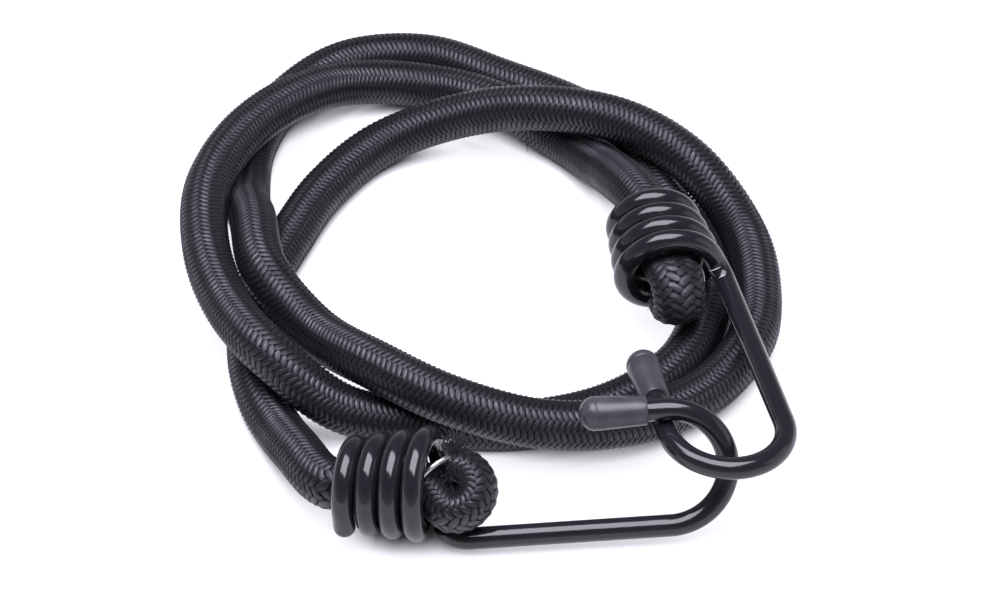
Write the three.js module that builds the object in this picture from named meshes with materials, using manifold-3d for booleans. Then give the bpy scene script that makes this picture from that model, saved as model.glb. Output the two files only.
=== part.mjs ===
// Elastic luggage cord, loosely coiled, with a plastic-coated wire hook wound on each end.
// The two hooks are linked into each other, as the cord is put away.
// Millimetres, +Z up, standing on z = 0. X runs to the viewer's right and Y away from the viewer.
import * as THREE from "three";
import { mergeVertices } from "three/addons/utils/BufferGeometryUtils.js";
import Module from "manifold-3d";

// Clearance between pieces that touch, and the least gap between turns.
const FIT = 0.3;
const TURN_GAP = 0.45;

// Cord: a braided sheath round a bundle of rubber threads, pressed flat where it lies.
const CORD_DIAMETER = 10;
const SHEATH_WALL = 1.4;
const FLOOR_FLAT = 1;

// Hook wire and its plastic coat.
const WIRE_DIAMETER = 2.8;
const COAT_WALL = 0.4;

// Conical coil that grips the cord, close on the cord at its small end. The wire starts straight,
// a little short of the last full turn.
const COIL_TURNS = 4;
const COIL_FLARE = 2.15;
const START_TRIM = 55;
const START_STRAIGHT = 3.5;
const EXIT_ANGLE = 26;
const EXIT_BEND_RADIUS = 4.6;

// Open end of the hook.
const BOW_RADIUS = 11.6;

// Soft cap on the hook's tip.
const CAP_LENGTH = 13.2;
const CAP_END_WALL = 1.4;
const CAP_MOUTH_WALL = 0.45;
const CAP_DOME_RADIUS = 3.35;
const CAP_LINE_DEPTH = 0.15;
const CAP_LINE_FROM_TIP = 3.3;

// Cord end folded back on itself outside the coil, pressed flat between its legs.
const FOLD_LEG_GAP = 0.4;
const SQUEEZE_START = -9;
const SWERVE_START = -4;

// Steel clip that holds the tail to the standing leg.
const CLIP_WIRE = 1.1;
const CLIP_FRONT = -4;
const CLIP_ROUNDNESS = 0.8;

// Where each hook lies: the middle of its coil's mouth, its turns and its coil's lean in degrees,
// the lengths of its leg and straight tip, the roll, half sizes, drop and tail of the cord's fold,
// and how far its clip stands open in degrees.
const HOOK_A = {
  mouth: [-7.2, -70.1, 12.6],
  heading: 4.4,
  pitch: 0.8,
  roll: 58.9,
  lean: 14,
  leg: 44.6,
  tip: 15.2,
  fold: 30,
  foldWidth: 4.1,
  foldHeight: 5.2,
  drop: 1.2,
  tail: 1.6,
  opening: 24,
};
const HOOK_B = {
  mouth: [39.6, -15.1, 17.5],
  heading: -77.9,
  pitch: 1.5,
  roll: 177,
  lean: 5,
  leg: 46.6,
  tip: 21.7,
  fold: 272,
  foldWidth: 3.4,
  foldHeight: 5.5,
  drop: 0,
  tail: 1.5,
  opening: 110,
};

// The free cord from the first coil to the second: x, y and rise of its centre line above
// where it lies on the ground.
const ROUTE = [
  [-31.3, -64.7, 4.9], [-36.1, -56.9, 3.2], [-39.8, -47.3, 0.2], [-43.1, -38.7, 0], [-46.5, -24.3, 0],
  [-45.9, -5.7, 0], [-40.3, 12.1, 0], [-33, 29.1, 0.1], [-21.2, 43.2, 1], [-4.3, 46.3, 6.2],
  [13.1, 42.4, 11.6], [31.1, 37.3, 11.9], [45.6, 27.4, 8.8], [56.2, 14.4, 1], [58.6, -4, 0.5],
  [56, -22.3, 2], [45.9, -37.7, 2.2], [30.9, -48.2, 4.5], [12.9, -52, 7.3], [-5.1, -48.6, 10.5],
  [-20.4, -38.7, 10.8], [-32.8, -24.9, 7.2], [-43.8, -10.2, 10.6], [-48.2, 7.7, 8.9], [-50.1, 24.5, 1],
  [-49.7, 43, 0], [-43, 60.3, 0], [-30.1, 73.6, 0], [-12, 75.6, 0], [4.4, 67, 0],
  [20.4, 57.3, 0], [34.2, 44.8, 0], [39.3, 27.3, 0], [46.2, 8.2, 0], [47.6, -10.1, 0],
  [41.1, -27.1, 0], [27.2, -39.3, 0], [9.5, -44.7, 0], [-9, -44.1, 0], [-27, -43.1, 3],
  [-41.3, -36.5, 11.4], [-51, -20.2, 10], [-57.3, -2.6, 10.4], [-58.3, 15.8, 11.3], [-51.9, 33.4, 11],
  [-41.6, 48.7, 8.9], [-28.8, 61.2, 3.7], [-11.3, 63, 1.3], [5, 54.2, 2.8], [19.9, 43.5, 0.7],
  [27.4, 31.2, 3.8], [30.3, 20.8, 9.4], [32.9, 12.2, 13.3],
];

// Facets.
const CORD_SIDES = 12;
const BORE_SIDES = 8;
const COAT_SIDES = 8;
const WIRE_SIDES = 6;
const CAP_SIDES = 16;
const STEPS_PER_TURN = 12;
const BEND_STEPS = 6;
const BOW_STEPS = 12;
const FOLD_STEPS = 8;
const CLIP_STEPS = 22;
const STEPS_PER_SPAN = 2;

const CORD_RADIUS = CORD_DIAMETER / 2;
const REST_HEIGHT = CORD_RADIUS - FLOOR_FLAT;
const WIRE_RADIUS = WIRE_DIAMETER / 2;
const COAT_BORE = WIRE_RADIUS + FIT;
const COAT_RADIUS = COAT_BORE + COAT_WALL;
const COIL_PITCH = 2 * COAT_RADIUS + TURN_GAP;
const COIL_LENGTH = COIL_TURNS * COIL_PITCH;
const COIL_SMALL_RADIUS = CORD_RADIUS + FIT + COAT_RADIUS;
const COIL_MOUTH_RADIUS = COIL_SMALL_RADIUS + COIL_FLARE;
const TAIL_END = COAT_RADIUS + 2 * FIT;
const UP = new THREE.Vector3(0, 0, 1);

const wasm = await Module();
wasm.setup();

const COLOURS = {
  braid: { color: 0x2b2a30, roughness: 0.8, metalness: 0 },
  rubber: { color: 0xc9b48a, roughness: 0.7, metalness: 0 },
  steel: { color: 0x9aa0a6, roughness: 0.35, metalness: 1 },
  coat: { color: 0x141416, roughness: 0.18, metalness: 0 },
  cap: { color: 0x4a4a4e, roughness: 0.75, metalness: 0 },
};

function mesh(name, geometry, finish) {
  const made = new THREE.Mesh(geometry, new THREE.MeshStandardMaterial(COLOURS[finish]));
  made.name = name;
  return made;
}

// A closed surface as a solid that can be cut and joined.
function solid(geometry) {
  const plain = new THREE.BufferGeometry();
  plain.setAttribute("position", geometry.getAttribute("position"));
  plain.setIndex(geometry.index);
  const merged = mergeVertices(plain, 1e-4);
  const vertProperties = new Float32Array(merged.getAttribute("position").array);
  const triVerts = new Uint32Array(merged.index.array);
  return new wasm.Manifold(new wasm.Mesh({ numProp: 3, vertProperties, triVerts }));
}

function geometryOf(manifold) {
  const { vertProperties, triVerts } = manifold.getMesh();
  const geometry = new THREE.BufferGeometry();
  geometry.setAttribute("position", new THREE.BufferAttribute(vertProperties, 3));
  geometry.setIndex(new THREE.BufferAttribute(triVerts, 1));
  geometry.computeVertexNormals();
  return geometry;
}

// A curve through given points whose steps fall on those points.
class Polyline extends THREE.Curve {
  constructor(points) {
    super();
    this.points = points;
  }

  getUtoTmapping(u) {
    return u;
  }

  getPoint(t, target = new THREE.Vector3()) {
    const last = this.points.length - 1;
    const i = Math.min(Math.floor(t * last + 1e-9), last - 1);
    return target.lerpVectors(this.points[i], this.points[i + 1], t * last - i);
  }

  getTangent(t, target = new THREE.Vector3()) {
    const last = this.points.length - 1;
    const i = Math.round(t * last);
    const before = this.points[Math.max(i - 1, 0)];
    const after = this.points[Math.min(i + 1, last)];
    return target.subVectors(after, before).normalize();
  }
}

// A round rod of the given radius along points.
function rod(points, radius, sides) {
  const section = new THREE.Shape().absarc(0, 0, radius, 0, 2 * Math.PI);
  return new THREE.ExtrudeGeometry(section, {
    steps: points.length - 1,
    curveSegments: sides / 2,
    extrudePath: new Polyline(points),
  });
}

// The hook's frame: x along its leg, y from leg to tip, origin in the coil's mouth.
function hookFrame({ mouth, heading, pitch, roll }) {
  const [h, p, r] = [heading, pitch, roll].map(THREE.MathUtils.degToRad);
  const x = new THREE.Vector3(Math.cos(h) * Math.cos(p), Math.sin(h) * Math.cos(p), Math.sin(p));
  const side = new THREE.Vector3(-Math.sin(h), Math.cos(h), 0);
  const up = new THREE.Vector3().crossVectors(x, side);
  const y = side.clone().multiplyScalar(Math.cos(r)).addScaledVector(up, Math.sin(r));
  const z = new THREE.Vector3().crossVectors(x, y);
  return new THREE.Matrix4().makeBasis(x, y, z).setPosition(...mouth);
}

// The coil's frame inside the hook's: x along the coil's axis towards the mouth.
const coilInHook = ({ lean }) =>
  new THREE.Matrix4().makeRotationY(-THREE.MathUtils.degToRad(lean));

// A point of the left-handed coil, a number of turns back from its mouth, in the coil's frame.
function coilPoint(turnsBack) {
  const angle = Math.PI + 2 * Math.PI * turnsBack;
  const radius = COIL_MOUTH_RADIUS - (COIL_FLARE * turnsBack) / COIL_TURNS;
  return new THREE.Vector3(
    -COIL_PITCH * turnsBack,
    radius * Math.cos(angle),
    radius * Math.sin(angle),
  );
}

// Centre line of a hook's wire in the hook's frame: coil, exit bend, leg, bow and tip.
function hookLine(placing) {
  const { leg, tip } = placing;
  const lean = coilInHook(placing);
  const points = [];
  const first = COIL_TURNS - START_TRIM / 360;
  const exit = EXIT_ANGLE / 360;
  const steps = Math.round((first - exit) * STEPS_PER_TURN);
  for (let i = 0; i <= steps; i++) {
    const turnsBack = THREE.MathUtils.lerp(first, exit, i / steps);
    points.push(coilPoint(turnsBack).applyMatrix4(lean));
  }
  const start = points[steps];
  const before = points[0].clone().sub(coilPoint(first - 0.01).applyMatrix4(lean)).normalize();
  points.unshift(before.multiplyScalar(START_STRAIGHT).add(points[0]));
  const along = start.clone().sub(coilPoint(exit + 0.01).applyMatrix4(lean)).normalize();
  const ahead = new THREE.Vector3(1, 0, 0);
  const bend = along.angleTo(ahead);
  const inward = ahead.clone().addScaledVector(along, -ahead.dot(along)).normalize();
  for (let i = 1; i <= BEND_STEPS; i++) {
    const angle = (bend * i) / BEND_STEPS;
    const point = start.clone().addScaledVector(along, EXIT_BEND_RADIUS * Math.sin(angle));
    points.push(point.addScaledVector(inward, EXIT_BEND_RADIUS * (1 - Math.cos(angle))));
  }
  const foot = points[points.length - 1];
  for (let i = 0; i <= BOW_STEPS; i++) {
    const angle = (Math.PI * i) / BOW_STEPS;
    const x = leg + BOW_RADIUS * Math.sin(angle);
    const y = foot.y + BOW_RADIUS * (1 - Math.cos(angle));
    points.push(new THREE.Vector3(x, y, foot.z));
  }
  const bowEnd = points[points.length - 1];
  points.push(bowEnd.clone().addScaledVector(ahead, -tip));
  return points;
}

// Plastic coat: closed and rounded at the coil's start, open under the cap.
function coatGeometry(line) {
  const past = line[line.length - 1].clone().add(new THREE.Vector3(-1, 0, 0));
  const round = new THREE.SphereGeometry(COAT_RADIUS, COAT_SIDES, COAT_SIDES);
  round.translate(...line[0].toArray());
  const outside = solid(rod(line, COAT_RADIUS, COAT_SIDES)).add(solid(round));
  const bore = solid(rod([...line.slice(1), past], COAT_BORE, WIRE_SIDES));
  return geometryOf(outside.subtract(bore));
}

// Spring-steel wire inside the coat.
function wireGeometry(line) {
  const [first, second] = line.slice(1, 3);
  const begin = first.clone().lerp(second, FIT / first.distanceTo(second));
  return rod([begin, ...line.slice(2)], WIRE_RADIUS, WIRE_SIDES);
}

// Cap drawn over the wire's tip, a little wider at its domed end, with a fine line round it.
function capGeometry(end) {
  const bore = COAT_RADIUS + FIT;
  const mouth = bore + CAP_MOUTH_WALL;
  const groove = CAP_LENGTH - CAP_LINE_FROM_TIP;
  const inset = CAP_DOME_RADIUS - CAP_LINE_DEPTH;
  const profile = [
    [0, CAP_LENGTH - CAP_END_WALL],
    [bore, CAP_LENGTH - CAP_END_WALL],
    [bore, 0],
    [mouth, 0],
    [CAP_DOME_RADIUS, groove - 2 * CAP_LINE_DEPTH],
    [inset, groove],
    [CAP_DOME_RADIUS, groove + 2 * CAP_LINE_DEPTH],
  ];
  const shoulder = groove + 2 * CAP_LINE_DEPTH;
  for (const degrees of [30, 60, 90]) {
    const angle = THREE.MathUtils.degToRad(degrees);
    const radius = degrees === 90 ? 0 : CAP_DOME_RADIUS * Math.cos(angle);
    profile.push([radius, shoulder + (CAP_LENGTH - shoulder) * Math.sin(angle)]);
  }
  const points = profile.map(([radius, height]) => new THREE.Vector2(radius, height));
  const geometry = new THREE.LatheGeometry(points, CAP_SIDES);
  geometry.rotateZ(Math.PI / 2);
  const depth = CAP_LENGTH - CAP_END_WALL - FIT;
  geometry.translate(end.x + depth, end.y, end.z);
  return geometryOf(solid(geometry));
}

function buildHook(tag, placing) {
  const hook = new THREE.Group();
  hook.applyMatrix4(hookFrame(placing));
  const line = hookLine(placing);
  hook.add(mesh(`hook_coat_${tag}`, coatGeometry(line), "coat"));
  hook.add(mesh(`hook_wire_${tag}`, wireGeometry(line), "steel"));
  hook.add(mesh(`tip_cap_${tag}`, capGeometry(line[line.length - 1]), "cap"));
  return hook;
}

// Frame of a cord end: x along the coil's axis, y from the standing leg to the tail.
function foldFrame(placing) {
  const coil = hookFrame(placing).multiply(coilInHook(placing));
  const x = new THREE.Vector3().setFromMatrixColumn(coil, 0);
  const side = new THREE.Vector3().crossVectors(UP, x).normalize();
  const up = new THREE.Vector3().crossVectors(x, side);
  const turn = THREE.MathUtils.degToRad(placing.fold);
  const y = side.multiplyScalar(Math.cos(turn)).addScaledVector(up, Math.sin(turn));
  const z = new THREE.Vector3().crossVectors(x, y);
  return new THREE.Matrix4().makeBasis(x, y, z).setPosition(...placing.mouth);
}

const smooth = (from, to, at) => THREE.MathUtils.smoothstep(at, from, to);

// Rings of a cord end from the coil's small end to the cut tail, each with its half width
// across the fold and its half height square to it.
function endRings(placing) {
  const frame = foldFrame(placing);
  const square = new THREE.Vector3().setFromMatrixColumn(frame, 2);
  if (square.z < 0) square.negate();
  const { foldWidth, foldHeight, drop, tail } = placing;
  const bend = TAIL_END + tail;
  const radius = foldWidth + FOLD_LEG_GAP / 2;
  const rings = [];
  const ring = (x, y, twist) => {
    const pressed = smooth(SQUEEZE_START, bend / 2, x);
    rings.push({
      centre: new THREE.Vector3(x, y, 0).applyMatrix4(frame),
      up: UP.clone().lerp(square, twist),
      width: THREE.MathUtils.lerp(CORD_RADIUS, foldWidth, pressed),
      height: THREE.MathUtils.lerp(CORD_RADIUS, foldHeight, pressed),
    });
  };
  const inside = -COIL_LENGTH - COAT_RADIUS;
  const stations = Math.round((bend - inside) / (CORD_DIAMETER / 3));
  for (let i = 0; i < stations; i++) {
    const x = THREE.MathUtils.lerp(inside, bend, i / stations);
    const swerve = smooth(SWERVE_START, bend, x);
    ring(x, -(radius + drop) * swerve, smooth(inside, SQUEEZE_START, x));
  }
  for (let i = 0; i <= FOLD_STEPS; i++) {
    const angle = (Math.PI * i) / FOLD_STEPS;
    ring(bend + radius * Math.sin(angle), -radius * Math.cos(angle) - drop, 1);
  }
  ring((bend + TAIL_END) / 2, radius - drop, 1);
  ring(TAIL_END, radius - drop, 1);
  return rings;
}

// Every ring of the cord, from the cut tail in the first hook to the one in the second.
function cordRings() {
  const first = endRings(HOOK_A).reverse();
  const last = endRings(HOOK_B);
  const points = ROUTE.map(([x, y, rise]) => new THREE.Vector3(x, y, REST_HEIGHT + rise));
  const lead = [first[first.length - 2].centre, first[first.length - 1].centre];
  const trail = [last[0].centre, last[1].centre];
  const curve = new THREE.CatmullRomCurve3([...lead, ...points, ...trail], false, "centripetal");
  const free = curve.getLength() - lead[0].distanceTo(lead[1]) - trail[0].distanceTo(trail[1]);
  const spans = points.length + 3;
  const middle = [];
  for (let i = STEPS_PER_SPAN + 1; i < (spans - 1) * STEPS_PER_SPAN; i++) {
    const centre = curve.getPoint(i / (spans * STEPS_PER_SPAN));
    middle.push({ centre, up: UP.clone(), width: CORD_RADIUS, height: CORD_RADIUS });
  }
  return { rings: [...first, ...middle, ...last], curve, free };
}

const CORD = cordRings();

// A closed tube through the cord's rings, drawn in by a wall and with its ends moved outwards.
function cordTube(sides, wall, endShift) {
  const { rings } = CORD;
  const last = rings.length - 1;
  const position = [];
  const index = [];
  rings.forEach(({ centre, up, width, height }, i) => {
    const ahead = rings[Math.min(i + 1, last)].centre;
    const behind = rings[Math.max(i - 1, 0)].centre;
    const along = ahead.clone().sub(behind).normalize();
    const side = new THREE.Vector3().crossVectors(up, along).normalize();
    const top = new THREE.Vector3().crossVectors(along, side);
    const middle = centre.clone();
    if (i === 0) middle.addScaledVector(along, -endShift);
    if (i === last) middle.addScaledVector(along, endShift);
    for (let k = 0; k < sides; k++) {
      const angle = (2 * Math.PI * (k + 0.5)) / sides;
      const point = middle.clone().addScaledVector(side, (width - wall) * Math.cos(angle));
      position.push(...point.addScaledVector(top, (height - wall) * Math.sin(angle)).toArray());
    }
  });
  for (let i = 0; i < last; i++) {
    for (let k = 0; k < sides; k++) {
      const a = i * sides + k;
      const b = i * sides + ((k + 1) % sides);
      index.push(a, b, a + sides, b, b + sides, a + sides);
    }
  }
  for (let k = 1; k < sides - 1; k++) {
    index.push(0, k + 1, k);
    index.push(last * sides, last * sides + k, last * sides + k + 1);
  }
  const geometry = new THREE.BufferGeometry();
  geometry.setAttribute("position", new THREE.Float32BufferAttribute(position, 3));
  geometry.setIndex(index);
  return geometry;
}

// Braided sheath, open at both cut ends, pressed flat where it lies on the ground.
function sheathGeometry() {
  const extent = new THREE.Box3().setFromPoints(CORD.rings.map((ring) => ring.centre));
  const size = extent.getSize(new THREE.Vector3()).addScalar(4 * CORD_DIAMETER);
  const middle = extent.getCenter(new THREE.Vector3());
  const ground = new THREE.BoxGeometry(size.x, size.y, size.z);
  ground.translate(middle.x, middle.y, -size.z / 2);
  const outside = solid(cordTube(CORD_SIDES, 0, 0)).subtract(solid(ground));
  return geometryOf(outside.subtract(solid(cordTube(BORE_SIDES, SHEATH_WALL, 1))));
}

// Bundle of rubber threads that fills the sheath.
function coreGeometry() {
  return geometryOf(solid(cordTube(BORE_SIDES, SHEATH_WALL + FIT, -FIT)));
}

// Open ring of steel wire, slanted from inside the mouth by the standing leg to behind the tail.
function clipGeometry({ foldWidth, foldHeight, drop, opening }) {
  const radius = CLIP_WIRE / 2;
  const mouth = COIL_MOUTH_RADIUS + (COIL_FLARE * CLIP_FRONT) / COIL_LENGTH;
  const front = { x: CLIP_FRONT, y: -(mouth - COAT_RADIUS - 1.5 * FIT - radius) };
  const past = 2 * foldWidth + FOLD_LEG_GAP / 2 - drop + FIT + radius;
  const back = { x: TAIL_END + CLIP_WIRE, y: past };
  const tall = foldHeight + FIT + 1.5 * radius;
  const gap = THREE.MathUtils.degToRad(opening);
  const points = [];
  for (let i = 0; i <= CLIP_STEPS; i++) {
    const angle = -Math.PI / 2 + gap / 2 + ((2 * Math.PI - gap) * i) / CLIP_STEPS;
    const share = (1 - Math.cos(angle)) / 2;
    const x = THREE.MathUtils.lerp(back.x, front.x, share);
    const y = THREE.MathUtils.lerp(back.y, front.y, share);
    const rise = Math.sign(Math.sin(angle)) * Math.abs(Math.sin(angle)) ** CLIP_ROUNDNESS;
    points.push(new THREE.Vector3(x, y, tall * rise));
  }
  return rod(points, radius, WIRE_SIDES);
}

function buildClip(tag, placing) {
  const clip = mesh(`end_clip_${tag}`, clipGeometry(placing), "steel");
  clip.applyMatrix4(foldFrame(placing));
  return clip;
}

// Least gap of a tube to itself, over points more than a given run apart.
function leastGap(points, run, diameter) {
  let least = Infinity;
  const travelled = [0];
  for (let i = 1; i < points.length; i++) {
    travelled.push(travelled[i - 1] + points[i].distanceTo(points[i - 1]));
  }
  for (let i = 0; i < points.length; i++) {
    for (let j = i + 1; j < points.length; j++) {
      if (travelled[j] - travelled[i] < run) continue;
      least = Math.min(least, points[i].distanceTo(points[j]) - diameter);
    }
  }
  return least;
}

const coilPoints = [];
for (let i = 0; i <= COIL_TURNS * 90; i++) coilPoints.push(coilPoint(i / 90));
const coilGap = leastGap(coilPoints, 2 * COIL_PITCH, 2 * COAT_RADIUS);
const cordGap = leastGap(CORD.curve.getSpacedPoints(600), 3 * CORD_DIAMETER, CORD_DIAMETER);
console.log(`least gap between a coil's turns ${coilGap.toFixed(2)} mm`);
console.log(`least gap between the cord's loops ${cordGap.toFixed(2)} mm`);
console.log(`free cord ${CORD.free.toFixed(0)} mm between the coils`);

const bungee = new THREE.Group();
bungee.add(mesh("braided_sheath", sheathGeometry(), "braid"));
bungee.add(mesh("rubber_core", coreGeometry(), "rubber"));
bungee.add(buildClip("a", HOOK_A), buildClip("b", HOOK_B));
bungee.add(buildHook("a", HOOK_A), buildHook("b", HOOK_B));

export default bungee;
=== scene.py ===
"""Black elastic luggage cord with two coated wire hooks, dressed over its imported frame.

Everything is in metres in the frame's own axes: X to the viewer's right, Y away, Z up.
"""

from __future__ import annotations

import logging
import math
from dataclasses import dataclass
from enum import Enum
from typing import Any

import bpy
import numpy as np
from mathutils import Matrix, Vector

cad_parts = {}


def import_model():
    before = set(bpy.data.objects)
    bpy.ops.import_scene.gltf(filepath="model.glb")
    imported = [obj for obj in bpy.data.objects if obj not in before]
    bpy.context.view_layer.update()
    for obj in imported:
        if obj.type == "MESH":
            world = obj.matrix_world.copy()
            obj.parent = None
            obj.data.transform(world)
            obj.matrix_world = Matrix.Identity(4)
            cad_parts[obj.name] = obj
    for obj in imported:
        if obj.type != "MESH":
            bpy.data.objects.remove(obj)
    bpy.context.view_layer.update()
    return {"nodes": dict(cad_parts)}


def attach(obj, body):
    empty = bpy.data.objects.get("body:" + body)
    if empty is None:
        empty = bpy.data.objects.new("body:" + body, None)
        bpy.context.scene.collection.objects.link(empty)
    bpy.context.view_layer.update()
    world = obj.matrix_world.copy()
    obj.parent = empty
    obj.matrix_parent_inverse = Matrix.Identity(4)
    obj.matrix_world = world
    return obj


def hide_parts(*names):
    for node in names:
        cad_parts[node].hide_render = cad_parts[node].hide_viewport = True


LOG = logging.getLogger("luggage_cord")

MM = 0.001
UP = np.array([0.0, 0.0, 1.0])

# The way from the cord to the camera.
FRONT = np.array([0.0, -0.74, 0.67])

# The node types that do sums.
MATHS = "ShaderNodeMath"
VECTORS = "ShaderNodeVectorMath"

# A loose fibre: its foot, and the way it lies in parts of its length.
Fibre = tuple[np.ndarray, np.ndarray]


class Body(Enum):
    """The frame's moving bodies."""

    CORD = "cord"
    HOOK_A = "hook_a"
    HOOK_B = "hook_b"


class Slot(Enum):
    """The record's material slots."""

    BRAID = "braid"
    RUBBER = "rubber"
    CLIP = "clip_steel"
    COAT = "coating"
    CAP = "cap_vinyl"


# Shared sizes of the cord and the hooks' wire.
FIT = 0.3 * MM
CORD_RADIUS = 5.0 * MM
SHEATH_WALL = 1.4 * MM
REST_HEIGHT = 4.0 * MM
WIRE_BED = 2.1 * MM
FOLD_LEG_GAP = 0.4 * MM
COIL_TURNS = 4
COIL_PITCH = 4.65 * MM
COIL_FLARE = 2.15 * MM
COIL_MOUTH = CORD_RADIUS + FIT + WIRE_BED + COIL_FLARE
COIL_LENGTH = COIL_TURNS * COIL_PITCH
TAIL_END = WIRE_BED + 2 * FIT

# The float's form in the braid: rows kept past each end, how its wave maps to its crown in parts
# of the relief, where its ends begin across its column, and how deep they dip. Points closer
# than the weld become one.
SPARE_ROWS = 3.0
CROWN_WAVE = (1.0, -0.35)
CROWN_HEIGHT = (-0.6, 0.5)
FLOAT_END = (0.5, 0.2)
END_DIP = 0.35
WELD = 0.001 * MM

# The shortest loose fibre, in parts of the longest.
SHORTEST_FIBRE = 0.35

# Where most of a noise's values lie.
NOISE_BAND = (0.3, 0.7)

# The free cord from the first coil to the second: x, y and rise above its lie, in metres.
ROUTE = MM * np.array([
    [-30.9, -64.2, 4.9], [-35.1, -56.2, 3.2], [-39.3, -47.0, 0.2], [-43.1, -38.7, 0],
    [-46.5, -24.3, 0], [-45.9, -5.7, 0], [-40.3, 12.1, 0], [-33, 29.1, 0.1],
    [-21.2, 43.2, 1], [-4.3, 46.3, 6.2], [13.1, 42.4, 11.6], [31.1, 37.3, 11.9],
    [45.6, 27.4, 8.8], [56.2, 14.4, 1], [58.6, -4, 0.5], [56, -22.3, 2],
    [45.9, -37.7, 2.2], [30.9, -48.2, 4.5], [12.9, -52, 7.3], [-5.1, -48.6, 10.5],
    [-20.4, -38.7, 10.8], [-32.8, -24.9, 7.2], [-43.9, -10.2, 10.6], [-47.5, 7.7, 8.9],
    [-50.1, 24.5, 1], [-49.7, 43, 0], [-43, 60.3, 0], [-30.1, 73.6, 0],
    [-12, 75.6, 0], [4.4, 67, 0], [20.4, 57.3, 0], [34.2, 44.8, 0],
    [39.3, 27.3, 0], [47.1, 8.4, 0], [47.6, -10.1, 0], [41.1, -27.1, 0],
    [27.2, -39.3, 0], [9.5, -44.7, 0], [-9, -44.1, 0], [-27, -43.1, 3],
    [-41.3, -36.5, 11.4], [-51, -20.2, 10], [-56.6, -2.6, 10.4], [-57.3, 15.8, 11.3],
    [-51.7, 33.4, 11], [-41.6, 48.7, 8.9], [-28.8, 61.2, 3.7], [-11.3, 63, 1.3],
    [5, 54.2, 2.8], [19.9, 43.5, 0.7], [27.4, 31.2, 3.8], [30.3, 20.8, 9.4],
    [32.9, 12.2, 13.3],
])


def linear(code: str) -> tuple[float, float, float, float]:
    """Turns an sRGB hex colour into linear light.

    Args:
        code: six hex digits.

    Returns:
        Red, green, blue and full opacity.
    """
    parts = [int(code[i:i + 2], 16) / 255 for i in (0, 2, 4)]
    light = [p / 12.92 if p <= 0.04045 else ((p + 0.055) / 1.055) ** 2.4 for p in parts]
    return (light[0], light[1], light[2], 1.0)


def fill(tree: bpy.types.NodeTree, node: bpy.types.Node, values: dict | list) -> None:
    """Sets or links a node's inputs.

    Args:
        tree: the node tree.
        node: the node.
        values: for each input, by name or in order, a constant, a socket, or a node whose
            first shown output is meant.
    """
    for key, value in values.items() if isinstance(values, dict) else enumerate(values):
        if isinstance(value, bpy.types.Node):
            value = next(out for out in value.outputs if out.enabled)
        if isinstance(value, bpy.types.NodeSocket):
            tree.links.new(value, node.inputs[key])
        else:
            node.inputs[key].default_value = value


def add(tree: bpy.types.NodeTree, kind: str, values: dict | list | None = None, **settings: Any):
    """Adds one node with its settings and fills its inputs.

    Args:
        tree: the node tree.
        kind: the node's type.
        values: what its inputs get, as for fill.
        settings: the node's own options.

    Returns:
        The new node.
    """
    node = tree.nodes.new(kind)
    for option, value in settings.items():
        setattr(node, option, value)
    fill(tree, node, values or [])
    return node


def smoothstep(low: float, high: float, at: np.ndarray) -> np.ndarray:
    """Rises smoothly from 0 at low to 1 at high."""
    share = np.clip((at - low) / (high - low), 0, 1)
    return share * share * (3 - 2 * share)


def unit(rows: np.ndarray) -> np.ndarray:
    """Scales each row to length one."""
    return rows / np.linalg.norm(rows, axis=-1, keepdims=True)


def through(points: np.ndarray, steps: int) -> np.ndarray:
    """Runs a centripetal spline through points, leaving out the first and the last span.

    Args:
        points: the points, one a row.
        steps: how many steps each span gets.

    Returns:
        Points on the curve, from the second given point to the last but one.
    """
    rows = []
    share = np.linspace(0, 1, steps, endpoint=False)[:, None]
    for a, b, c, d in zip(points, points[1:], points[2:], points[3:]):
        before, here, after = (np.sqrt(np.linalg.norm(q - p)) for p, q in ((a, b), (b, c), (c, d)))
        leave = here * ((b - a) / before - (c - a) / (before + here) + (c - b) / here)
        reach = here * ((c - b) / here - (d - b) / (here + after) + (d - c) / after)
        bend = -3 * b + 3 * c - 2 * leave - reach
        twist = 2 * b - 2 * c + leave + reach
        rows.append(b + leave * share + bend * share**2 + twist * share**3)
    return np.vstack([*rows, points[-2:-1]])


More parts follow.
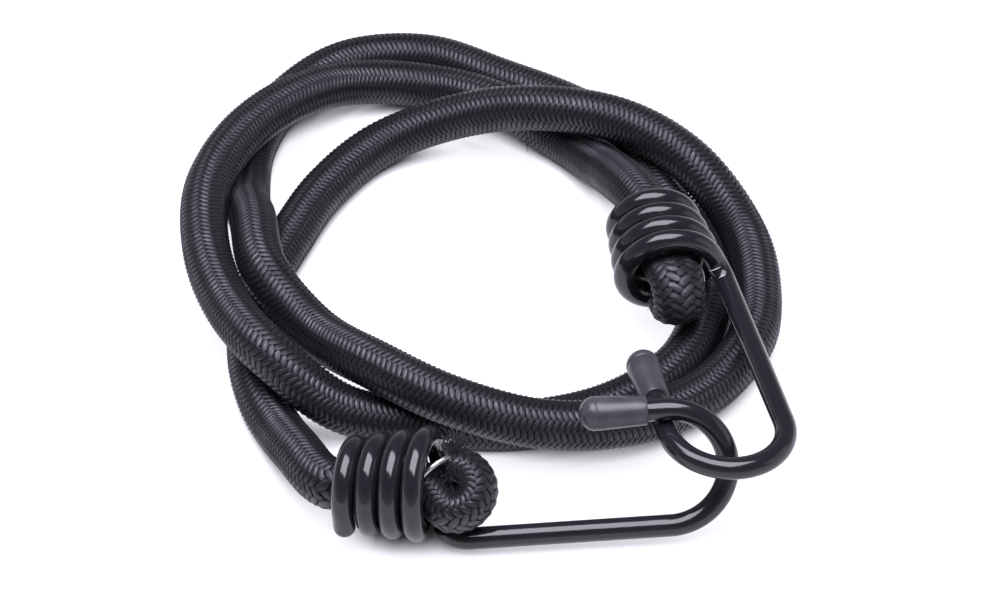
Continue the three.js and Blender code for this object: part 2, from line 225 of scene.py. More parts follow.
class Growth:
    """A geometry node tree that grows a mesh along a guide line."""

    def __init__(self, name: str, inputs: dict[str, str]) -> None:
        """Opens the tree with its named inputs.

        Args:
            name: the tree's name.
            inputs: each input's name and socket type.
        """
        self.tree = bpy.data.node_groups.new(name, "GeometryNodeTree")
        face = self.tree.interface
        face.new_socket("Guide", in_out="INPUT", socket_type="NodeSocketGeometry")
        kinds = {**inputs, "Material": "NodeSocketMaterial"}
        self.sockets = {
            label: face.new_socket(label, in_out="INPUT", socket_type=kind).identifier
            for label, kind in kinds.items()
        }
        face.new_socket("Grown", in_out="OUTPUT", socket_type="NodeSocketGeometry")
        self.given = add(self.tree, "NodeGroupInput").outputs

    def close(self, geometry: bpy.types.Node) -> None:
        """Ends the tree: real geometry, smooth shading and its material.

        Args:
            geometry: the node that gives the grown shape.
        """
        real = add(self.tree, "GeometryNodeRealizeInstances", [geometry])
        smooth = add(self.tree, "GeometryNodeSetShadeSmooth", [real])
        dressed = add(self.tree, "GeometryNodeSetMaterial", {0: smooth, 2: self.given["Material"]})
        add(self.tree, "NodeGroupOutput", [dressed])

    def grow(self, name: str, guide: bpy.types.Mesh, values: dict[str, Any]) -> bpy.types.Object:
        """Grows one piece and keeps it as a plain mesh.

        Args:
            name: the piece's name.
            guide: the guide line.
            values: a value for each named input.

        Returns:
            The finished piece.
        """
        piece = bpy.data.objects.new(name, guide)
        bpy.context.scene.collection.objects.link(piece)
        modifier = piece.modifiers.new("growth", "NODES")
        modifier.node_group = self.tree
        for label, value in values.items():
            modifier[self.sockets[label]] = value
        ready = piece.evaluated_get(bpy.context.evaluated_depsgraph_get())
        mesh = bpy.data.meshes.new_from_object(ready)
        piece.modifiers.clear()
        piece.data = mesh
        mesh.name = name
        LOG.info("%s: %d faces", name, len(mesh.polygons))
        return piece


def guide_line(name: str, lines: list[np.ndarray], **carried: np.ndarray) -> bpy.types.Mesh:
    """Makes a guide mesh of one or more open lines of points.

    Args:
        name: the mesh's name.
        lines: each line's points.
        carried: numbers or vectors that the points carry.

    Returns:
        The guide.
    """
    mesh = bpy.data.meshes.new(name)
    edges, start = [], 0
    for line in lines:
        edges += [(i, i + 1) for i in range(start, start + len(line) - 1)]
        start += len(line)
    mesh.from_pydata(np.vstack(lines).tolist(), edges, [])
    for label, values in carried.items():
        kind, field = ("FLOAT_VECTOR", "vector") if values.ndim == 2 else ("FLOAT", "value")
        layer = mesh.attributes.new(label, kind, "POINT")
        layer.data.foreach_set(field, values.astype(np.float32).ravel())
    return mesh


def rod_growth() -> Growth:
    """Grows round rods whose half thickness comes with the line.

    Returns:
        The tree, with the input Sides.
    """
    made = Growth("round_rod", {"Sides": "NodeSocketInt"})
    tree, given = made.tree, made.given
    line = add(tree, "GeometryNodeMeshToCurve", [given["Guide"]])
    ring = add(tree, "GeometryNodeCurvePrimitiveCircle",
               {"Resolution": given["Sides"], "Radius": 1.0})
    girth = add(tree, "GeometryNodeInputNamedAttribute", {"Name": "girth"}, data_type="FLOAT")
    rod = add(tree, "GeometryNodeCurveToMesh",
              {0: line, 1: ring, "Scale": girth, "Fill Caps": True})
    made.close(rod)
    return made


def grow_rods(name: str, lines: list[np.ndarray], girth: np.ndarray, sides: int,
              finish: Finish) -> bpy.types.Object:
    """Grows one piece of round rods.

    Args:
        name: the piece's name.
        lines: each rod's points.
        girth: the half thickness at every point.
        sides: how many sides a rod has.
        finish: the rods' finish.

    Returns:
        The finished piece.
    """
    guide = guide_line(f"{name}_guide", lines, girth=girth)
    return rod_growth().grow(name, guide, {"Sides": sides, "Material": finish.material()})


def braid_growth() -> Growth:
    """Grows a herringbone braid along a line that carries its own cross-section.

    The guide carries side and top, across the cord, and wide and tall, its half sizes. Columns
    of slanted floats run along the cord. Neighbouring columns lean opposite ways, half a row
    apart, and their floats reach past the line between them. Past each end of the line the
    surface turns inwards over the sheath's wall.

    Returns:
        The tree, with inputs for the braid's sizes.
    """
    made = Growth("herringbone_braid", {
        "Row Pitch": "NodeSocketFloat",
        "Columns": "NodeSocketInt",
        "Slant": "NodeSocketFloat",
        "Reach": "NodeSocketFloat",
        "Relief": "NodeSocketFloat",
        "Wall": "NodeSocketFloat",
        "Row Steps": "NodeSocketInt",
        "Column Steps": "NodeSocketInt",
    })
    tree, given = made.tree, made.given
    line = add(tree, "GeometryNodeMeshToCurve", [given["Guide"]])
    length = add(tree, "GeometryNodeCurveLength", [line])
    rows = add(tree, MATHS, [length, given["Row Pitch"]], operation="DIVIDE")
    spare = add(tree, MATHS, [given["Slant"], SPARE_ROWS], operation="ADD")
    tall_rows = add(tree, MATHS, [spare, 2.0, rows], operation="MULTIPLY_ADD")
    around = add(tree, MATHS, [given["Columns"], given["Column Steps"], 1.0],
                 operation="MULTIPLY_ADD")
    rings = add(tree, MATHS, [tall_rows, given["Row Steps"], 1.0], operation="MULTIPLY_ADD")
    whole_rings = add(tree, MATHS, [rings], operation="FLOOR")
    steps_up = add(tree, MATHS, [whole_rings, 1.0], operation="SUBTRACT")
    height = add(tree, MATHS, [steps_up, given["Row Steps"]], operation="DIVIDE")
    grid = add(tree, "GeometryNodeMeshGrid",
               {"Size X": given["Columns"], "Size Y": height,
                "Vertices X": around, "Vertices Y": whole_rings})
    place = add(tree, "GeometryNodeInputPosition")
    flat = add(tree, "ShaderNodeSeparateXYZ", [place])
    half_around = add(tree, MATHS, [given["Columns"], 0.5], operation="MULTIPLY")
    half_rows = add(tree, MATHS, [rows, 0.5], operation="MULTIPLY")
    column = add(tree, MATHS, [flat.outputs["X"], half_around], operation="ADD")
    row = add(tree, MATHS, [flat.outputs["Y"], half_rows], operation="ADD")
    address = add(tree, "ShaderNodeCombineXYZ", {"X": column, "Y": row})
    marked = add(tree, "GeometryNodeStoreNamedAttribute",
                 {"Geometry": grid.outputs["Mesh"], "Name": "braid", "Value": address},
                 data_type="FLOAT_VECTOR", domain="CORNER")
    # Where along the cord: each row zigzags from column to column.
    zigzag = add(tree, MATHS, [column, 1.0], operation="PINGPONG")
    middle = add(tree, MATHS, [zigzag, 0.5], operation="SUBTRACT")
    leant = add(tree, MATHS, [middle, given["Slant"], row], operation="MULTIPLY_ADD")
    along = add(tree, MATHS, [leant, given["Row Pitch"]], operation="MULTIPLY")
    beyond = add(tree, MATHS, [along, length], operation="SUBTRACT")
    ahead = add(tree, MATHS, [along, -1.0], operation="MULTIPLY")
    past = add(tree, MATHS, [beyond, ahead], operation="MAXIMUM")
    turned_in = add(tree, "ShaderNodeClamp", [past, 0.0, given["Wall"]])
    # The float's own crown, half a row apart from column to column.
    number = add(tree, MATHS, [column], operation="FLOOR")
    odd = add(tree, MATHS, [number, 2.0], operation="FLOORED_MODULO")
    shifted = add(tree, MATHS, [odd, 0.5, row], operation="MULTIPLY_ADD")
    wave_angle = add(tree, MATHS, [shifted, 2 * math.pi], operation="MULTIPLY")
    wave = add(tree, MATHS, [wave_angle], operation="COSINE")
    crown = add(tree, "ShaderNodeMapRange", [wave, *CROWN_WAVE, *CROWN_HEIGHT])
    share = add(tree, MATHS, [column], operation="FRACT")
    from_middle = add(tree, MATHS, [share, 0.5], operation="SUBTRACT")
    off_middle = add(tree, MATHS, [from_middle], operation="ABSOLUTE")
    inner = add(tree, "ShaderNodeMapRange", [off_middle, *FLOAT_END, 0.0, 1.0])
    lifted = add(tree, MATHS, [crown, inner], operation="MULTIPLY")
    sunk = add(tree, MATHS, [inner, END_DIP, -END_DIP], operation="MULTIPLY_ADD")
    swell = add(tree, MATHS, [lifted, sunk], operation="ADD")
    proud = add(tree, MATHS, [swell, given["Relief"]], operation="MULTIPLY")
    grown_by = add(tree, MATHS, [proud, turned_in], operation="SUBTRACT")
    # Ends of the floats reach past the line between columns, turn and turn about.
    outer = add(tree, MATHS, [1.0, inner], operation="SUBTRACT")
    sway = add(tree, MATHS, [wave, outer], operation="MULTIPLY")
    reached = add(tree, MATHS, [sway, given["Reach"], column], operation="MULTIPLY_ADD")
    turn = add(tree, MATHS, [2 * math.pi, given["Columns"]], operation="DIVIDE")
    angle = add(tree, MATHS, [reached, turn], operation="MULTIPLY")
    # Each half size, the way it is measured, its share of the angle and that share's slope.
    halves = (("wide", "side", "COSINE", "SINE", -1.0), ("tall", "top", "SINE", "COSINE", 1.0))
    centre = add(tree, "GeometryNodeSampleCurve", {"Curves": line, "Length": along},
                 mode="LENGTH", data_type="FLOAT")
    spot = centre.outputs["Position"]
    around_way = None
    for half, direction, spread, slope, sign in halves:
        size_name = add(tree, "GeometryNodeInputNamedAttribute", {"Name": half}, data_type="FLOAT")
        size = add(tree, "GeometryNodeSampleCurve",
                   {"Curves": line, "Value": size_name, "Length": along},
                   mode="LENGTH", data_type="FLOAT")
        way_name = add(tree, "GeometryNodeInputNamedAttribute", {"Name": direction},
                       data_type="FLOAT_VECTOR")
        way = add(tree, "GeometryNodeSampleCurve",
                  {"Curves": line, "Value": way_name, "Length": along},
                  mode="LENGTH", data_type="FLOAT_VECTOR")
        radius = add(tree, MATHS, [size, grown_by], operation="ADD")
        part = add(tree, MATHS, [angle], operation=spread)
        reach = add(tree, MATHS, [radius, part], operation="MULTIPLY")
        step = add(tree, VECTORS, {0: way, "Scale": reach}, operation="SCALE")
        spot = add(tree, VECTORS, [spot, step], operation="ADD").outputs[0]
        rate = add(tree, MATHS, [angle], operation=slope)
        signed = add(tree, MATHS, [rate, sign], operation="MULTIPLY")
        sweep = add(tree, VECTORS, {0: way, "Scale": signed}, operation="SCALE")
        around_way = sweep if around_way is None else add(
            tree, VECTORS, [around_way, sweep], operation="ADD")
    apart = add(tree, "ShaderNodeSeparateXYZ", [spot])
    ground = add(tree, MATHS, [apart.outputs["Z"], 0.0], operation="MAXIMUM")
    seat = add(tree, "ShaderNodeCombineXYZ",
               {"X": apart.outputs["X"], "Y": apart.outputs["Y"], "Z": ground})
    led = add(tree, "GeometryNodeStoreNamedAttribute",
              {"Geometry": marked, "Name": "along", "Value": centre.outputs["Tangent"]},
              data_type="FLOAT_VECTOR", domain="POINT")
    swung = add(tree, "GeometryNodeStoreNamedAttribute",
                {"Geometry": led, "Name": "around", "Value": around_way},
                data_type="FLOAT_VECTOR", domain="POINT")
    laid = add(tree, "GeometryNodeSetPosition", {"Geometry": swung, "Position": seat})
    closed = add(tree, "GeometryNodeMergeByDistance", {"Geometry": laid, "Distance": WELD})
    made.close(closed)
    return made


def fray_growth() -> Growth:
    """Grows short bent fibres on points that carry the way they lie.

    Returns:
        The tree, with inputs Length, Thickness and Seed.
    """
    made = Growth("frayed_fibres", {
        "Length": "NodeSocketFloat",
        "Thickness": "NodeSocketFloat",
        "Seed": "NodeSocketInt",
    })
    tree, given = made.tree, made.given
    bend = add(tree, "GeometryNodeCurvePrimitiveBezierSegment",
               {"Resolution": 6, "Start": (0, 0, 0), "Start Handle": (0, 0, 0.4),
                "End Handle": (0.25, 0, 0.8), "End": (0.45, 0, 0.95)})
    thin = add(tree, MATHS, [given["Thickness"], given["Length"]], operation="DIVIDE")
    ring = add(tree, "GeometryNodeCurvePrimitiveCircle", {"Resolution": 4, "Radius": thin})
    fibre = add(tree, "GeometryNodeCurveToMesh", {0: bend, 1: ring, "Fill Caps": True})
    lie = add(tree, "GeometryNodeInputNamedAttribute", {"Name": "lie"}, data_type="FLOAT_VECTOR")
    reach = add(tree, VECTORS, [lie], operation="LENGTH")
    stand = add(tree, "FunctionNodeAlignRotationToVector", {"Vector": lie}, axis="Z")
    spin = add(tree, "FunctionNodeRandomValue",
               {"Min": 0.0, "Max": 2 * math.pi, "Seed": given["Seed"]}, data_type="FLOAT")
    spun = add(tree, "FunctionNodeAxisAngleToRotation", {"Axis": (0, 0, 1), "Angle": spin})
    turned = add(tree, "FunctionNodeRotateRotation", {"Rotation": stand, "Rotate By": spun},
                 rotation_space="LOCAL")
    other = add(tree, MATHS, [given["Seed"], 7.0], operation="ADD")
    share = add(tree, "FunctionNodeRandomValue",
                {2: SHORTEST_FIBRE, 3: 1.0, "Seed": other}, data_type="FLOAT")
    span = add(tree, MATHS, [reach.outputs["Value"], given["Length"]], operation="MULTIPLY")
    scale = add(tree, MATHS, [share, span], operation="MULTIPLY")
    many = add(tree, "GeometryNodeInstanceOnPoints",
               {"Points": given["Guide"], "Instance": fibre, "Rotation": turned, "Scale": scale})
    made.close(many)
    return made


@dataclass(frozen=True)
class Finish:
    """What every finish has: its name, its main colour and how it answers light."""

    name: str
    colour: str
    roughness: float
    metallic: float = 0.0
    ior: float = 1.5

    def material(self) -> bpy.types.Material:
        """Makes the material once and gives it back after that.

        Returns:
            The material.
        """
        found = bpy.data.materials.get(self.name)
        if found:
            return found
        made = bpy.data.materials.new(self.name)
        made.use_nodes = True
        tree = made.node_tree
        shader = tree.nodes["Principled BSDF"]
        fill(tree, shader, {"Base Color": linear(self.colour), "Roughness": self.roughness,
                            "Metallic": self.metallic, "IOR": self.ior})
        self.pattern(tree, shader)
        made.diffuse_color = linear(self.colour)
        return made

    def pattern(self, tree: bpy.types.NodeTree, shader: bpy.types.Node) -> None:
        """Adds the surface's own pattern.

        Args:
            tree: the material's nodes.
            shader: its surface shader.
        """


@dataclass(frozen=True)
class PolyesterBraid(Finish):
    """Spun-dyed polyester yarn, braided: soft sheen on each float, painted near-black shade between
    them.

    Colours and lengths apart, its sizes are in the braid's own columns and rows.
    """

    painted_gap_shade: str = "060608"
    crest: str = "19181c"
    painted_gap_reflection_shade: str = "5a5960"
    shine: str = "f3f0ff"
    haze: str = "c9c6da"
    haze_weight: float = 0.015
    haze_roughness: float = 0.45
    anisotropy: float = 0.7
    specular: float = 0.95
    valley_roughness: float = 0.95
    slant: float = 0.55
    lean: float = 0.3
    half_span: float = 0.68
    half_girth: float = 0.42
    edge: tuple[float, float] = (0.4, 0.62)
    lit_from_end: float = 0.75
    hump_foot: float = 0.42
    relief: float = 0.2 * MM
    fibres_per_row: float = 9.0
    fibres_per_column: float = 1.3
    fibre_relief: float = 0.15
    fibre_shade: tuple[float, float] = (0.55, 1.0)
    patch: float = 6.0 * MM
    patch_shade: tuple[float, float] = (0.85, 1.1)

    def pattern(self, tree: bpy.types.NodeTree, shader: bpy.types.Node) -> None:
        """Draws floats and their fibres from the braid's own columns and rows, with painted shade in
        the gaps and towards each float's tips.
        """
        fill(tree, shader, {
            "Anisotropic": self.anisotropy, "Sheen Weight": self.haze_weight,
            "Sheen Roughness": self.haze_roughness, "Sheen Tint": linear(self.haze),
            "Specular IOR Level": self.specular,
        })
        braid = add(tree, "ShaderNodeAttribute", attribute_name="braid")
        part = add(tree, "ShaderNodeSeparateXYZ", [braid.outputs["Vector"]])
        column, row = part.outputs["X"], part.outputs["Y"]
        number = add(tree, MATHS, [column], operation="FLOOR")
        odd = add(tree, MATHS, [number, 2.0], operation="FLOORED_MODULO")
        even = add(tree, MATHS, [1.0, odd], operation="SUBTRACT")
        # A float reaches past its column, so its tip shows between the next column's floats.
        inset = add(tree, MATHS, [add(tree, MATHS, [column], operation="FRACT"), 0.5],
                    operation="PINGPONG")
        zigzag = add(tree, MATHS, [column, 1.0], operation="PINGPONG")
        peak = add(tree, MATHS, [zigzag], operation="ROUND")
        way = add(tree, MATHS, [peak, -4 * self.slant, 2 * self.slant], operation="MULTIPLY_ADD")
        next_row = add(tree, MATHS, [inset, way, row], operation="MULTIPLY_ADD")
        shades, humps = [], []
        for level, phase, sign in ((row, odd, -1.0), (next_row, even, 1.0)):
            shifted = add(tree, MATHS, [phase, 0.5, level], operation="MULTIPLY_ADD")
            rise = add(tree, MATHS, [shifted, 0.5], operation="PINGPONG")
            from_middle = add(tree, MATHS, [inset, sign, 0.5], operation="MULTIPLY_ADD")
            share = add(tree, MATHS, [from_middle, self.half_span], operation="DIVIDE")
            square = add(tree, MATHS, [share, share], operation="MULTIPLY")
            taper = add(tree, MATHS, [1.0, square], operation="SUBTRACT")
            kept = add(tree, MATHS, [taper, 0.0], operation="MAXIMUM")
            root = add(tree, MATHS, [kept], operation="SQRT")
            girth = add(tree, MATHS, [root, self.half_girth, rise], operation="MULTIPLY_ADD")
            inside = add(tree, "ShaderNodeMapRange", [girth, *self.edge],
                         interpolation_type="SMOOTHSTEP")
            # Towards its tips a float is darkened, a painted shade where it dips under its
            # neighbours.
            lit_end = add(tree, "ShaderNodeMapRange", [kept, 0.0, self.lit_from_end])
            shades.append(add(tree, MATHS, [inside, lit_end], operation="MULTIPLY"))
            slope = add(tree, "ShaderNodeMapRange", [girth, self.hump_foot, 0.5 + self.half_girth])
            humps.append(add(tree, MATHS, [slope], operation="SQRT"))
        body = add(tree, MATHS, [shades[0], shades[1]], operation="MAXIMUM")
        hump = add(tree, MATHS, [humps[0], humps[1]], operation="MAXIMUM")
        # Single filaments are far finer than a pixel, so they are drawn in small bunches.
        lay = add(tree, "ShaderNodeCombineXYZ", {
            "X": add(tree, MATHS, [column, self.fibres_per_column], operation="MULTIPLY"),
            "Y": add(tree, MATHS, [row, self.fibres_per_row], operation="MULTIPLY"),
            "Z": number,
        })
        fibres = add(tree, "ShaderNodeTexNoise",
                     {"Vector": lay, "Scale": 1.0, "Detail": 2.0, "Roughness": 0.6})
        patch = add(tree, "ShaderNodeTexNoise",
                    {"Vector": add(tree, "ShaderNodeTexCoord").outputs["Object"],
                     "Scale": 1 / self.patch, "Detail": 2.0})
        streak = add(tree, "ShaderNodeMapRange", [fibres, *NOISE_BAND, *self.fibre_shade])
        drift = add(tree, "ShaderNodeMapRange", [patch, *NOISE_BAND, *self.patch_shade])
        lit = add(tree, MATHS, [body, streak], operation="MULTIPLY")
        shade = add(tree, MATHS, [lit, drift], operation="MULTIPLY")
        # Between floats the colour falls to a painted near-black shade; fibre streaks and patches
        # vary the tone at random.
        colour = add(tree, "ShaderNodeMix",
                     {"Factor": shade, "A": linear(self.painted_gap_shade), "B": linear(self.crest)},
                     data_type="RGBA")
        gloss = add(tree, "ShaderNodeMapRange",
                    {0: shade, 3: self.valley_roughness, 4: self.roughness})
        # The yarn's reflection is dimmed in the gaps as well, a painted shade on the specular tint.
        tint = add(tree, "ShaderNodeMix",
                   {"Factor": shade, "A": linear(self.painted_gap_reflection_shade), "B": linear(self.shine)},
                   data_type="RGBA")
        # Shine spreads square to the yarn, which leans the other way in every second column.
        turn = add(tree, MATHS, [odd, 2 * self.lean, -self.lean], operation="MULTIPLY_ADD")
        along = add(tree, "ShaderNodeAttribute", attribute_name="along")
        around = add(tree, "ShaderNodeAttribute", attribute_name="around")
        aside = add(tree, VECTORS, {0: around.outputs["Vector"], "Scale": turn}, operation="SCALE")
        lying = add(tree, VECTORS, [along.outputs["Vector"], aside], operation="ADD")
        height = add(tree, MATHS, [fibres, self.fibre_relief, hump], operation="MULTIPLY_ADD")
        bump = add(tree, "ShaderNodeBump",
                   {"Strength": 1.0, "Distance": self.relief, "Height": height})
        fill(tree, shader, {"Base Color": colour, "Roughness": gloss, "Specular Tint": tint,
                            "Tangent": lying, "Normal": bump})


@dataclass(frozen=True)
class DippedVinyl(Finish):
    """PVC plastisol dip on wire: deep gloss black with the slow waves of a poured skin."""

    wave: float = 5.0 * MM
    wave_depth: float = 0.15 * MM
    wave_strength: float = 0.5
    smear: float = 1.6 * MM
    smear_band: tuple[float, float] = (0.45, 0.75)
    smear_roughness: float = 0.06

    def pattern(self, tree: bpy.types.NodeTree, shader: bpy.types.Node) -> None:
        """Adds the skin's slow waves and faint smears."""
        where = add(tree, "ShaderNodeTexCoord").outputs["Object"]
        waves = add(tree, "ShaderNodeTexNoise",
                    {"Vector": where, "Scale": 1 / self.wave, "Detail": 1.0})
        bump = add(tree, "ShaderNodeBump", {"Strength": self.wave_strength,
                                            "Distance": self.wave_depth, "Height": waves})
        smears = add(tree, "ShaderNodeTexNoise",
                     {"Vector": where, "Scale": 1 / self.smear, "Detail": 3.0})
        gloss = add(tree, "ShaderNodeMapRange",
                    [smears, *self.smear_band, self.roughness,
                     self.roughness + self.smear_roughness])
        fill(tree, shader, {"Normal": bump, "Roughness": gloss})


@dataclass(frozen=True)
class MouldedVinyl(Finish):
    """Soft moulded vinyl: matt dark grey with a fine spark-eroded grain."""

    grain: float = 0.25 * MM
    grain_depth: float = 0.04 * MM
    grain_strength: float = 0.35
    rub: float = 3.0 * MM
    rub_band: tuple[float, float] = (0.35, 0.7)
    unrubbed: str = "3a3940"

    def pattern(self, tree: bpy.types.NodeTree, shader: bpy.types.Node) -> None:
        """Adds the mould's grain and paler rubbed places."""
        where = add(tree, "ShaderNodeTexCoord").outputs["Object"]
        grain = add(tree, "ShaderNodeTexNoise",
                    {"Vector": where, "Scale": 1 / self.grain, "Detail": 2.0})
        bump = add(tree, "ShaderNodeBump", {"Strength": self.grain_strength,
                                            "Distance": self.grain_depth, "Height": grain})
        rubbed = add(tree, "ShaderNodeTexNoise",
                     {"Vector": where, "Scale": 1 / self.rub, "Detail": 3.0})
        tone = add(tree, "ShaderNodeMapRange", [rubbed, *self.rub_band, 0.0, 1.0])
        colour = add(tree, "ShaderNodeMix",
                     {"Factor": tone, "A": linear(self.unrubbed), "B": linear(self.colour)},
                     data_type="RGBA")
        fill(tree, shader, {"Normal": bump, "Base Color": colour})


@dataclass(frozen=True)
class DrawnSteel(Finish):
    """Bright drawn steel wire: mirror-like with fine scratches along it."""

    scratch: float = 0.2 * MM
    scratch_depth: float = 0.02 * MM
    scratch_strength: float = 0.2
    scratch_band: tuple[float, float] = (0.35, 0.7)
    dulling: float = 0.18

    def pattern(self, tree: bpy.types.NodeTree, shader: bpy.types.Node) -> None:
        """Adds fine scratches and a little dulling."""
        where = add(tree, "ShaderNodeTexCoord").outputs["Object"]
        scratches = add(tree, "ShaderNodeTexNoise",
                        {"Vector": where, "Scale": 1 / self.scratch, "Detail": 3.0})
        gloss = add(tree, "ShaderNodeMapRange",
                    [scratches, *self.scratch_band, self.roughness, self.roughness + self.dulling])
        bump = add(tree, "ShaderNodeBump", {"Strength": self.scratch_strength,
                                            "Distance": self.scratch_depth, "Height": scratches})
        fill(tree, shader, {"Roughness": gloss, "Normal": bump})


@dataclass(frozen=True)
class LatexThread(Finish):
    """Natural latex thread: waxy cream, dusted with talc."""

    talc: str = "efe6d2"
    talc_size: float = 0.8 * MM

    def pattern(self, tree: bpy.types.NodeTree, shader: bpy.types.Node) -> None:
        """Adds the talc's pale patches."""
        where = add(tree, "ShaderNodeTexCoord").outputs["Object"]
        dust = add(tree, "ShaderNodeTexNoise",
                   {"Vector": where, "Scale": 1 / self.talc_size, "Detail": 3.0})
        colour = add(tree, "ShaderNodeMix",
                     {"Factor": dust, "A": linear(self.colour), "B": linear(self.talc)},
                     data_type="RGBA")
        fill(tree, shader, {"Base Color": colour})


BRAID = PolyesterBraid("braided_polyester_yarn", "19181c", 0.33)
LOOSE_YARN = Finish("loose_polyester_fibre", "26252a", 0.6)
COAT = DippedVinyl("dipped_pvc_coat", "1f1e24", 0.12, ior=1.52)
CAP = MouldedVinyl("moulded_soft_vinyl", "46454d", 0.33)
STEEL = DrawnSteel("drawn_steel_wire", "c4c6ca", 0.24, 1.0)
LATEX = LatexThread("natural_latex_thread", "d8c7a0", 0.6)
WHITENED = Finish("stress_whitened_pvc", "d9d8dc", 0.5)
UNDYED = Finish("undyed_polyester_thread", "b6b5ba", 0.55)


@dataclass(frozen=True)
class Placing:
    """Where one hook lies: its coil's mouth, its turns and lean in degrees, and its lengths."""

    tag: str
    body: Body
    mouth: tuple[float, float, float]
    heading: float
    pitch: float
    roll: float
    lean: float
    leg: float
    tip: float
    fold: float
    fold_width: float
    fold_height: float
    drop: float
    tail: float
    opening: float
    swing: float

    def hook_axes(self) -> np.ndarray:
        """Gives the hook's axes as columns: along its leg, from leg to tip, and square."""
        h, p, r = np.radians([self.heading, self.pitch, self.roll])
        x = np.array([math.cos(h) * math.cos(p), math.sin(h) * math.cos(p), math.sin(p)])
        side = np.array([-math.sin(h), math.cos(h), 0.0])
        up = np.cross(x, side)
        y = side * math.cos(r) + up * math.sin(r)
        return np.column_stack([x, y, np.cross(x, y)])

    def lean_axes(self) -> np.ndarray:
        """Gives the coil's axes inside the hook's, as columns."""
        c, s = math.cos(math.radians(self.lean)), math.sin(math.radians(self.lean))
        return np.array([[c, 0.0, -s], [0.0, 1.0, 0.0], [s, 0.0, c]])

    def fold_axes(self) -> np.ndarray:
        """Gives the folded cord end's axes: along the coil, across the fold, and square."""
        x = (self.hook_axes() @ self.lean_axes())[:, 0]
        side = unit(np.cross(UP, x))
        turn = math.radians(self.fold)
        y = side * math.cos(turn) + np.cross(x, side) * math.sin(turn)
        return np.column_stack([x, y, np.cross(x, y)])

    def world(self, points: np.ndarray, axes: np.ndarray) -> np.ndarray:
        """Puts points of a local frame at the mouth."""
        return np.array(self.mouth) + points @ axes.T


PLACING_A = Placing("a", Body.HOOK_A, (-7.2 * MM, -70.1 * MM, 12.6 * MM), 4.4, 0.8, 58.9, 14,
                    44.6 * MM, 15.2 * MM, 30, 4.1 * MM, 5.2 * MM, 1.2 * MM, 0.5 * MM, 24, 30)
PLACING_B = Placing("b", Body.HOOK_B, (39.6 * MM, -15.1 * MM, 17.5 * MM), -77.9, 1.5, 177, 5,
                    46.6 * MM, 21.7 * MM, 272, 3.4 * MM, 5.5 * MM, 0.0, 1.5 * MM, 110, 10)


# The crimped thread at the first cut end, in metres.
CURL = MM * np.array([
    [-6.7, -66.6, 17.2], [-6.8, -66.2, 18.1], [-6.9, -65.8, 19.2], [-6.5, -65.6, 20.2],
    [-6.2, -65.7, 19.2], [-5.8, -65.6, 19.9], [-5.5, -65.7, 19.3], [-5.0, -65.6, 20.3],
    [-4.7, -65.7, 19.5], [-4.3, -65.6, 20.2], [-4.2, -65.6, 19.6], [-4.2, -65.6, 19.2],
])

# Cracks in the coats: how far along the wire, and where each runs round it, in degrees.
CRACKS = {"a": (), "b": ((208.0 * MM, 85, -5), (211.5 * MM, 30, -8))}


@dataclass
class CordLine:
    """The cord's centre line with its cross-section at every point."""

    centre: np.ndarray
    up: np.ndarray
    wide: np.ndarray
    tall: np.ndarray

    def along(self) -> np.ndarray:
        """Gives the line's direction at every point."""
        ahead = np.vstack([self.centre[1:], self.centre[-1:]])
        behind = np.vstack([self.centre[:1], self.centre[:-1]])
        return unit(ahead - behind)

    def side(self) -> np.ndarray:
        """Gives the direction across the cord at every point."""
        return unit(np.cross(self.up, self.along()))

    def top(self) -> np.ndarray:
        """Gives the direction square to the line and to its side."""
        return np.cross(self.along(), self.side())

    def length(self) -> float:
        """Measures the line."""
        return float(np.linalg.norm(np.diff(self.centre, axis=0), axis=1).sum())

    def joined(self, *others: "CordLine") -> "CordLine":
        """Runs on into other lines."""
        lines = (self, *others)
        return CordLine(*(np.concatenate([getattr(line, part) for line in lines])
                          for part in ("centre", "up", "wide", "tall")))

    def turned(self) -> "CordLine":
        """Runs the other way."""
        return CordLine(self.centre[::-1], self.up[::-1], self.wide[::-1], self.tall[::-1])


